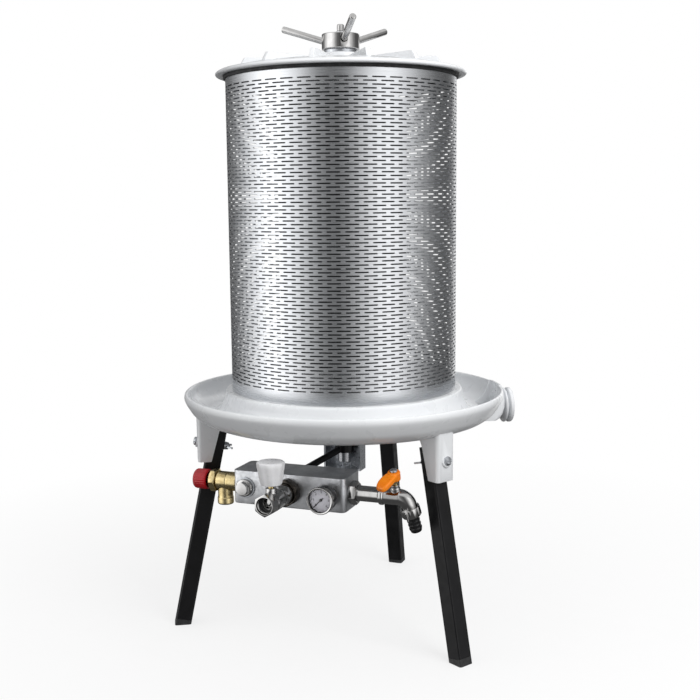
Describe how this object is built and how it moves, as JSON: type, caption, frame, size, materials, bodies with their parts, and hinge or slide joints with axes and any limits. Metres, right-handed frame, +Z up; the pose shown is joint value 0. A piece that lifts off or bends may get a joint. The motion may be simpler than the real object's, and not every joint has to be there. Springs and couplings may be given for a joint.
{
  "type": "bladder wine press",
  "caption": "Water-powered fruit press: slotted steel basket round a rubber bladder, ribbed lid with star nut, cast tray with spout, splayed legs and a valve manifold.",
  "frame": {"origin": "centre of the stand's footprint box, at floor level", "axes": "+Z up along the spindle, -Y towards the side the manifold's gauge and valves face, +X to the right of someone who faces the gauge"},
  "size_m": [0.5, 0.525, 0.9253],
  "materials": {
    "cast_white": "white enamel over a fine casting",
    "black_paint": "satin black",
    "black_rubber": "matt",
    "stainless": "rolled sheet, satin",
    "zinc": "zinc plated",
    "chrome": "polished",
    "cast_aluminium": "cast, fine texture",
    "brass": "turned",
    "dark_bronze": "darkened",
    "red_plastic": "moulded",
    "orange_plastic": "moulded",
    "white_plastic": "moulded",
    "black_plastic": "moulded",
    "dial_white": "printed dial",
    "clear_plastic": "clear"
  },
  "bodies": {
    "stand": {"tray": "cast_white", "leg_left": "black_paint", "leg_right": "black_paint", "leg_rear": "black_paint", "foot_cap_left": "black_rubber", "foot_cap_right": "black_rubber", "foot_cap_rear": "black_rubber", "leg_bolt_left": "zinc", "leg_bolt_right": "zinc", "leg_bolt_rear": "zinc", "spindle": "stainless", "spindle_gasket": "black_rubber", "spindle_lock_nut": "zinc", "bladder": "black_rubber", "bladder_clamp_lower": "stainless", "bladder_clamp_upper": "stainless", "manifold_block": "cast_aluminium", "hanger_bracket": "zinc", "feed_pipe": "black_paint", "bracket_bolt_left": "zinc", "bracket_bolt_right": "zinc", "feed_gland": "zinc", "blanking_plug": "zinc", "plug_washer": "zinc", "gauge_socket": "brass", "gauge_case": "black_plastic", "gauge_bezel": "chrome", "gauge_lens": "clear_plastic", "gauge_dial": "dial_white", "inlet_union_nut": "dark_bronze", "inlet_valve_body": "chrome", "relief_valve_body": "brass", "relief_valve_bonnet": "brass", "relief_valve_spring": "stainless", "tap_lock_nut": "zinc", "tap_body": "chrome", "tap_hose_tail": "black_plastic"},
    "basket": {"basket": "stainless"},
    "lid": {"lid": "cast_white", "lid_gasket": "black_rubber"},
    "thrust_washer": {"thrust_washer": "zinc"},
    "star_nut": {"star_nut_hub": "chrome", "star_nut_arm_1": "chrome", "star_nut_arm_2": "chrome", "star_nut_arm_3": "chrome"},
    "bleed_screw": {"bleed_screw": "chrome"},
    "inlet_spindle": {"inlet_knob": "white_plastic", "inlet_stem": "brass", "inlet_ball": "chrome"},
    "tap_handle": {"tap_lever": "orange_plastic", "tap_lever_screw": "zinc", "tap_stem": "brass", "tap_ball": "chrome"},
    "tap_union": {"tap_union_nut": "chrome"},
    "relief_cap": {"relief_valve_cap": "red_plastic"},
    "relief_disc": {"relief_valve_disc": "brass"},
    "gauge_needle": {"gauge_pointer": "black_plastic"},
    "wing_left": {"wing_nut_left": "zinc"},
    "wing_right": {"wing_nut_right": "zinc"},
    "wing_rear": {"wing_nut_rear": "zinc"}
  },
  "joints": [
    {"name": "basket_lift", "type": "slide", "parent": "stand", "child": "basket", "axis": [0, 0, 1], "range_m": [0, 0.57]},
    {"name": "lid_lift", "type": "slide", "parent": "basket", "child": "lid", "axis": [0, 0, 1], "range_m": [0, 0.1]},
    {"name": "nut_climb", "type": "slide", "parent": "lid", "child": "thrust_washer", "axis": [0, 0, 1], "range_m": [0, 0.0361]},
    {"name": "nut_spin", "type": "hinge", "parent": "thrust_washer", "child": "star_nut", "pos_m": [0, -0.01248, 0.898], "axis": [0, 0, 1], "range_deg": [0, 3240]},
    {"name": "bleed_screw_turn", "type": "hinge", "parent": "stand", "child": "bleed_screw", "pos_m": [0, -0.01248, 0.914], "axis": [0, 0, 1], "range_deg": [0, 720]},
    {"name": "inlet_knob_turn", "type": "hinge", "parent": "stand", "child": "inlet_spindle", "pos_m": [-0.02435, -0.23729, 0.24104], "axis": [0, 0, 1], "range_deg": [0, 90]},
    {"name": "tap_lever_turn", "type": "hinge", "parent": "stand", "child": "tap_handle", "pos_m": [0.13347, -0.15413, 0.24104], "axis": [0, 0.2588, -0.9659], "range_deg": [-20, 70]},
    {"name": "tap_union_spin", "type": "hinge", "parent": "stand", "child": "tap_union", "pos_m": [0.15364, -0.14865, 0.22057], "axis": [0.1908, 0.2541, -0.9482], "continuous": true},
    {"name": "relief_cap_twist", "type": "hinge", "parent": "stand", "child": "relief_cap", "pos_m": [-0.17736, -0.15413, 0.24104], "axis": [-1, 0, 0], "range_deg": [0, 90]},
    {"name": "relief_disc_lift", "type": "slide", "parent": "stand", "child": "relief_disc", "axis": [-1, 0, 0], "range_m": [0, 0.0015]},
    {"name": "gauge_sweep", "type": "hinge", "parent": "stand", "child": "gauge_needle", "pos_m": [0.03885, -0.20652, 0.24104], "axis": [0, 1, 0], "range_deg": [0, 270]},
    {"name": "wing_nut_left_spin", "type": "hinge", "parent": "stand", "child": "wing_left", "pos_m": [-0.16496, -0.10772, 0.28386], "axis": [0.8481, 0.4897, -0.2023], "continuous": true},
    {"name": "wing_nut_right_spin", "type": "hinge", "parent": "stand", "child": "wing_right", "pos_m": [0.16496, -0.10772, 0.28386], "axis": [-0.8481, 0.4897, -0.2023], "continuous": true},
    {"name": "wing_nut_rear_spin", "type": "hinge", "parent": "stand", "child": "wing_rear", "pos_m": [0, 0.178, 0.28386], "axis": [0, -0.9793, -0.2023], "continuous": true}
  ],
  "couplings": [
    {"joint": "nut_climb", "follows": "nut_spin", "m_per_rad": 0.00063662},
    {"joint": "relief_disc_lift", "follows": "relief_cap_twist", "m_per_rad": 0.00095398}
  ]
}
